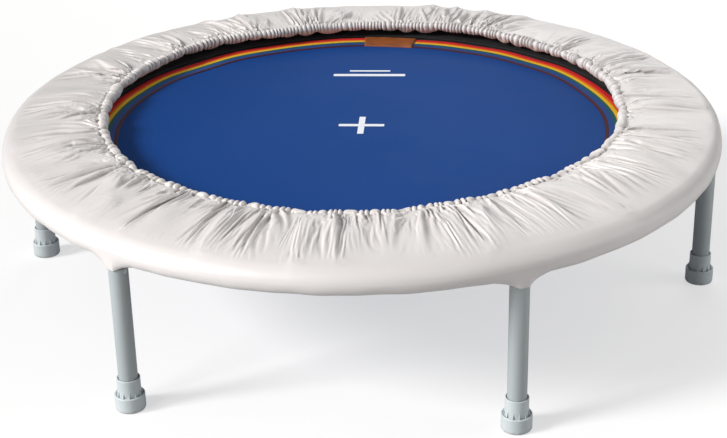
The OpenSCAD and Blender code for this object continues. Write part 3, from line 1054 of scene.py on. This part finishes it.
def place(points, azimuth):
    """Points (outwards, sideways, z) set at an azimuth."""
    points = np.asarray(points, float)
    outwards = np.array([sin(azimuth), -cos(azimuth), 0])
    sideways = np.array([cos(azimuth), sin(azimuth), 0])
    return (points[..., :1] * outwards + points[..., 1:2] * sideways
            + points[..., 2:] * np.array([0, 0, 1.0]))


def arc(centre_r, radius, angles):
    """Points of an arc in the (radius, z) plane at the tube's height, angles from the top."""
    return [(centre_r + radius * math.sin(x), FRAME_Z + radius * math.cos(x)) for x in angles]


def ring_path():
    """D-ring: half circle outwards, straight bar inwards."""
    radius = 8 * mm
    bow = [(BAR_R + radius * math.cos(x), radius * math.sin(x), FRAME_Z)
           for x in np.linspace(-pi / 2, pi / 2, 13)]
    return bow + [(BAR_R, y * mm, FRAME_Z) for y in (6, 2, -2, -6)]


def spring_path(eye=4.6 * mm, coil=6.0 * mm, turns=12):
    """An eye on the D-ring, a coil, and a hook at the frame."""
    eye_r = BAR_R + 9.4 * mm
    loop = [(eye_r + eye * math.cos(x), 0.0, FRAME_Z + eye * math.sin(x))
            for x in np.linspace(0.35, 2 * pi - 0.1, 16)]
    start, end = eye_r + eye + 2.2 * mm, FRAME_R - 24 * mm
    lead = [(eye_r + eye + 0.6 * mm, 0, FRAME_Z + 1.5 * mm),
            (start - 0.8 * mm, -1.0 * mm, FRAME_Z + 4.2 * mm)]
    body = [(start + (end - start) * t, coil * math.sin(2 * pi * turns * t),
             FRAME_Z + coil * math.cos(2 * pi * turns * t))
            for t in np.linspace(0, 1, turns * 12 + 1)]
    tail = [(end + 1.5 * mm, 0.6 * mm, FRAME_Z + 3.8 * mm),
            (end + 3.5 * mm, 0, FRAME_Z + 0.8 * mm), (end + 6 * mm, 0, FRAME_Z),
            (FRAME_R - 11 * mm, 0, FRAME_Z), (FRAME_R - 9.4 * mm, 0, FRAME_Z + 0.6 * mm),
            (FRAME_R - 9 * mm, 0, FRAME_Z + 2 * mm), (FRAME_R - 9 * mm, 0, FRAME_Z + 5 * mm)]
    return loop[::-1] + lead + body + tail


def tab_profile():
    """Webbing tab round the bar, reaching in over and under the band: (radius, z)."""
    top = BAND_TOP + 0.35 * mm
    outer = np.linspace(0.1, pi - 0.1, 9)
    inner = np.linspace(pi - 0.1, 0.1, 7)
    end = BAR_R - 19 * mm
    return np.array(
        [(end, top + 0.9 * mm), (BAR_R - 10 * mm, top + 1.0 * mm),
         (BAR_R - 3 * mm, FRAME_Z + 2.7 * mm)]
        + arc(BAR_R, 2.65 * mm, outer)
        + [(BAR_R - 4 * mm, FRAME_Z - 2.7 * mm), (end, FRAME_Z - 2.7 * mm),
           (end, FRAME_Z - 1.8 * mm), (BAR_R - 3 * mm, FRAME_Z - 1.8 * mm)]
        + arc(BAR_R, 1.65 * mm, inner)
        + [(BAR_R - 3 * mm, FRAME_Z + 1.8 * mm), (BAR_R - 10 * mm, top + 0.1 * mm),
           (end, top + 0.1 * mm)])


def build_springs():
    steel = spring_steel()
    ring, spring, profile = ring_path(), spring_path(), tab_profile()
    tab_sides = np.array([-6.5, -6.3, -3, 0, 3, 6.3, 6.5]) * mm
    tab = [[(x, y, z) for x, z in profile] for y in tab_sides]
    tab_length = path_length(profile, closed=True)
    rings, springs, tabs = [], [], []
    for azimuth in np.radians(FIRST_SPRING + 360 / SPRING_COUNT * np.arange(SPRING_COUNT)):
        rings.append(tube(place(ring, azimuth), 1.5 * mm, 8, closed=True))
        springs.append(tube(place(spring, azimuth), 1.25 * mm, 6))
        tabs.append(sheet(place(tab, azimuth), tab_sides, tab_length, ring=False, closed=True))
    on_mat(mesh_object("ring_set", join(rings), steel), "spring_steel", "d_rings")
    on_mat(mesh_object("spring_set", join(springs), steel), "spring_steel", "springs")
    on_mat(mesh_object("tab_set", join(tabs), band_look), "band_black", "ring_tabs")


build_springs()

# ---------------------------------------------------------------- leather label
LABEL_AZIMUTH = math.radians(172.3)
LABEL_HALF = 41 * mm                                # half its length along the webbing
LABEL_HALF_ANGLE = LABEL_HALF / WEB_MIDDLE
LABEL_ROWS = (5, 32)                                # stitch rows, mm from the webbing's edge


def label_leather():
    look = Look("label_leather", (0.40, 0.15, 0.04), rough=0.5)
    pores = look.voronoi(look.position, 900)
    blotches = look.noise(look.position, 80, detail=4, rough=0.6)
    colour = look.mottle(blotches, (0.36, 0.105, 0.022), (0.25, 0.065, 0.014))
    look.set("Base Color", look.mix((1.0 - pores) * 0.18, colour, (0.18, 0.05, 0.015)))
    look.set("Roughness", blotches * 0.2 + 0.38)
    look.bump(pores, depth=0.25 * mm, strength=0.5)
    look.bump(blotches, depth=0.8 * mm, strength=0.3)
    return look


def build_label():
    s = np.linspace(-1, 1, 60)[:, None]
    azimuth = LABEL_AZIMUTH + s * LABEL_HALF_ANGLE
    # section in mm: distance from the webbing's inner edge, and height; the flat top is grooved
    flat = np.linspace(1.0, 36.2, 22)
    grooves = sum(-0.35 * np.exp(-((flat - row) / 1.3) ** 2) for row in LABEL_ROWS)
    offset = np.concatenate([[-1.0, -1.0, -0.6], flat, [37.8, 38.2, 38.2]]) * mm
    height = np.concatenate([[-0.2, 1.6, 2.3], 2.6 + grooves, [2.4, 1.7, -0.2]]) * mm
    edge = smooth((1 - np.abs(s)) * LABEL_HALF / (1.2 * mm))
    radius = WEB_INNER + offset + web_wave(azimuth) + 0.35 * mm * sin(s * 9)
    z = (MAT_Z + height * (0.45 + 0.55 * edge)
         + 0.5 * mm * sin(s * 7 + 1) * (offset > 0) * (offset < WEB_WIDTH)
         + WEB_LIFT * (offset / WEB_WIDTH) ** 2 * (offset > 0))
    surface = sheet(polar(radius, azimuth, z), s * LABEL_HALF, offset, ring=False)
    on_mat(mesh_object("label", surface, label_leather()), "label_leather", "webbing_label")


def build_label_stitches(count=22):
    parts = []
    for row in LABEL_ROWS:
        offset = row * mm
        for k in range(count):
            s = -1 + 2 * (k + 0.5) / count + 0.052 * STITCH
            azimuth = LABEL_AZIMUTH + s * LABEL_HALF_ANGLE * 0.96
            z = (MAT_Z + 2.35 * mm + 0.35 * mm * STITCH_ARCH + 0.5 * mm * sin(s * 7 + 1)
                 + WEB_LIFT * (offset / WEB_WIDTH) ** 2)
            path = polar(WEB_INNER + offset + web_wave(azimuth), azimuth, z)
            parts.append(tube(path, 0.32 * mm, 5))
    look = thread("label_thread", (0.16, 0.06, 0.025))
    on_mat(mesh_object("label_stitches", join(parts), look), "label_leather")


build_label()
build_label_stitches()

# ---------------------------------------------------------------- print on the mat
# a cross in three bars and two bars behind it: (centre x, centre y, width, height, corner) in mm
PRINT_BARS = [(0, 0, 66, 9, 1.5), (0, 18.9, 9, 28.2, 0.01), (0, -18.9, 9, 28.2, 0.01),
              (0, 212, 112, 10, 1.5), (0, 231, 64, 6, 1.5)]
PRINT_TURN = math.radians(-3.8)


def print_white():
    look = Look("print_white", (0.80, 0.84, 0.90), rough=0.5)
    position = look.position
    wear = look.remap(look.noise(position, 500, rough=0.7), start=0.45, end=0.75, high=0.35)
    look.set("Base Color", look.mix(wear, (0.82, 0.86, 0.92), (0.45, 0.55, 0.75)))
    look.bump(abs(look.wave(look.split(position)[0], 3.2 * mm)), depth=0.12 * mm, strength=0.4)
    return look


def rounded_bar(centre_x, centre_y, width, height, corner):
    """Grid of x and y over a bar with rounded corners."""
    bend = corner * (1 - cos(np.linspace(0, pi / 2, 5)))
    middle = np.linspace(-width / 2 + corner, width / 2 - corner, max(3, int(width / (4 * mm))))
    x = np.unique(np.concatenate([-width / 2 + bend, middle, width / 2 - bend]).round(7))
    into_corner = np.clip(corner - (width / 2 - np.abs(x)), 0, corner)
    half = height / 2 - corner + np.sqrt(np.maximum(corner ** 2 - into_corner ** 2, 0))
    y = np.linspace(-1, 1, max(3, int(height / (4 * mm)) + 1))
    return np.broadcast_arrays(x[:, None] + centre_x, half[:, None] * y + centre_y)


def build_print():
    parts = []
    for bar in PRINT_BARS:
        u, v = rounded_bar(*(size * mm for size in bar))
        x = u * math.cos(PRINT_TURN) - v * math.sin(PRINT_TURN)
        y = u * math.sin(PRINT_TURN) + v * math.cos(PRINT_TURN)
        z = mat_z(np.hypot(x, y), np.arctan2(x, -y)) + 0.22 * mm
        parts.append(sheet(np.stack([x, y, z], -1), u, v, ring=False))
    on_mat(mesh_object("mat_marks", join(parts), print_white()), "print_white", "mat_print")


build_print()


# ---------------------------------------------------------------- CAD nodes that stay
def paint(name, colour, rough, first, second, least_rough):
    look = Look(name, colour, rough)
    position = look.position
    mottled = look.mottle(look.noise(position, 7, detail=4), first, second)
    specks = look.remap(look.noise(position, 900, detail=2, rough=0.6),
                        start=0.66, end=0.8, high=0.35)
    look.set("Base Color", look.mix(specks, mottled, (0.12, 0.12, 0.12)))
    look.set("Roughness", look.noise(position, 45) * 0.18 + least_rough)
    look.set("Coat Weight", 0.15)
    look.set("Coat Roughness", 0.3)
    look.bump(look.noise(position, 700, rough=0.6), depth=0.12 * mm, strength=0.5)
    look.bump(look.noise(position, 60, detail=2), depth=0.5 * mm, strength=0.12)
    return look


def foot_plastic():
    look = Look("foot_plastic", (0.5, 0.55, 0.57), rough=0.5)
    position = look.position
    colour = look.mottle(look.noise(position, 18, detail=4),
                         (0.55, 0.60, 0.615), (0.49, 0.54, 0.56))
    # dirt on the lowest 6 mm
    z = look.split(position)[2]
    dirt = look.remap(z, start=0, end=6 * mm, low=1, high=0) * look.remap(
        look.noise(position, 120, detail=4), start=0.35, end=0.75, high=0.8)
    look.set("Base Color", look.mix(dirt, colour, (0.16, 0.16, 0.15)))
    look.set("Roughness", look.noise(position, 90) * 0.2 + 0.42)
    look.bump(look.noise(position, 1500, detail=2, rough=0.6), depth=0.08 * mm, strength=0.6)
    look.bump(look.noise(position, 70, detail=2), depth=0.5 * mm, strength=0.15)
    return look


def pin_steel():
    look = Look("pin_steel", (0.6, 0.61, 0.63), rough=0.3, metal=1.0)
    look.set("Roughness", look.noise(look.position, 600) * 0.3 + 0.2)
    look.bump(look.noise(look.position, 1500, detail=2), depth=0.05 * mm, strength=0.5)
    return look


def dress(node, look):
    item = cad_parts[node]
    if not item.data.materials:
        item.data.materials.append(look.material)
    for slot in item.material_slots:
        slot.material = look.material


frame_paint = paint("frame_paint", (0.30, 0.32, 0.33), rough=0.42, first=(0.32, 0.34, 0.35),
                    second=(0.27, 0.29, 0.30), least_rough=0.33)
leg_paint = paint("leg_paint", (0.42, 0.46, 0.48), rough=0.4, first=(0.40, 0.44, 0.45),
                  second=(0.355, 0.395, 0.405), least_rough=0.32)
foot_look = foot_plastic()
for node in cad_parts:
    if node.startswith("leg_tube"):
        dress(node, leg_paint)
    elif node.startswith("foot_cap"):
        dress(node, foot_look)
dress("frame_ring", frame_paint)
dress("leg_lugs", frame_paint)
dress("hinge_pins", pin_steel())


# ---------------------------------------------------------------- floor and world
def floor_white():
    look = Look("floor_white", (0.93, 0.93, 0.93), rough=0.7)
    look.set("Base Color", look.mix(look.noise(look.position, 3, detail=2),
                                    (0.44, 0.44, 0.44), (0.42, 0.42, 0.42)))
    # the floor glows a little, more so to the camera, so that shadows on it stay pale
    look.set("Emission Color", (1, 1, 1))
    seen = look.add("ShaderNodeLightPath", {}, "Is Camera Ray")
    look.set("Emission Strength", seen * 0.5 + 0.08)
    look.set("Specular IOR Level", 0.1)
    return look


def build_floor(half=12, z=-0.0002):
    points = [(-half, -half, z), (half, -half, z), (half, half, z), (-half, half, z)]
    surface = points, [[0, 1, 2, 3]], [[(0, 0), (1, 0), (1, 1), (0, 1)]]
    mesh_object("floor", surface, floor_white(), shade_smooth=False)


build_floor()

world = bpy.data.worlds.new("studio")
bpy.context.scene.world = world
world.use_nodes = True
background = world.node_tree.nodes["Background"]
background.inputs["Color"].default_value = (1.0, 0.99, 0.98, 1)
background.inputs["Strength"].default_value = 0.22


# ---------------------------------------------------------------- lights
def add_light(name, kind, location, target, energy, color, **settings):
    light = bpy.data.lights.new(name, kind)
    light.energy = energy
    light.color = color
    for setting, value in settings.items():
        setattr(light, setting, value)
    item = bpy.data.objects.new(name, light)
    bpy.context.scene.collection.objects.link(item)
    item.location = location
    item.rotation_mode = "QUATERNION"
    item.rotation_quaternion = (Vector(target) - Vector(location)).to_track_quat("-Z", "Y")


add_light("key", "SUN", location=(-1.85, -0.62, 1.2), target=(0, 0, 0), energy=3.4,
          color=(1.0, 0.985, 0.975), angle=math.radians(16))
add_light("front_left", "AREA", location=(-1.25, -1.30, 0.95), target=(-0.20, -0.42, 0.25),
          energy=1.35, color=(1.0, 0.99, 0.985), shape="RECTANGLE", size=0.5, size_y=0.5,
          spread=math.radians(62))
add_light("back", "AREA", location=(0.9, 2.6, 1.5), target=(0, 0, 0.25), energy=21,
          color=(1.0, 1.0, 1.0), shape="RECTANGLE", size=2.4, size_y=0.9)
add_light("fill", "AREA", location=(2.3, -0.5, 0.8), target=(0, 0, 0.15), energy=16,
          color=(0.99, 0.995, 1.0), shape="RECTANGLE", size=1.4, size_y=1.0)

bpy.context.scene.view_settings.view_transform = "Standard"
bpy.context.scene.view_settings.look = "None"

# ---------------------------------------------------------------- camera
CAMERA_ELEVATION = 0.4646                           # radians above the floor
CAMERA_DISTANCE = 2.4256                            # from the origin
CAMERA_TILT = 0.0292                                # aim above the origin, as a slope
CAMERA_ROLL = -0.0216                               # radians
CAMERA_LENS = 79.762531                             # in mm, on a sensor 36 mm wide


def level_axes(forward):
    """Right and up of an unrolled view along forward."""
    right = np.cross(forward, [0, 0, 1])
    right /= np.linalg.norm(right)
    return right, np.cross(right, forward)


def add_camera():
    location = CAMERA_DISTANCE * np.array([0, -cos(CAMERA_ELEVATION), sin(CAMERA_ELEVATION)])
    forward = -location / np.linalg.norm(location)
    forward = forward + CAMERA_TILT * level_axes(forward)[1]
    forward /= np.linalg.norm(forward)
    level_right, level_up = level_axes(forward)
    right = cos(CAMERA_ROLL) * level_right + sin(CAMERA_ROLL) * level_up
    up = -sin(CAMERA_ROLL) * level_right + cos(CAMERA_ROLL) * level_up
    data = bpy.data.cameras.new("camera")
    camera = bpy.data.objects.new("camera", data)
    bpy.context.scene.collection.objects.link(camera)
    data.sensor_width = 36
    data.lens = CAMERA_LENS
    data.clip_start, data.clip_end = 0.05, 60
    rows = np.column_stack([right, up, -forward, location]).tolist()
    camera.matrix_world = Matrix([*rows, (0, 0, 0, 1)])
    bpy.context.scene.camera = camera


add_camera()
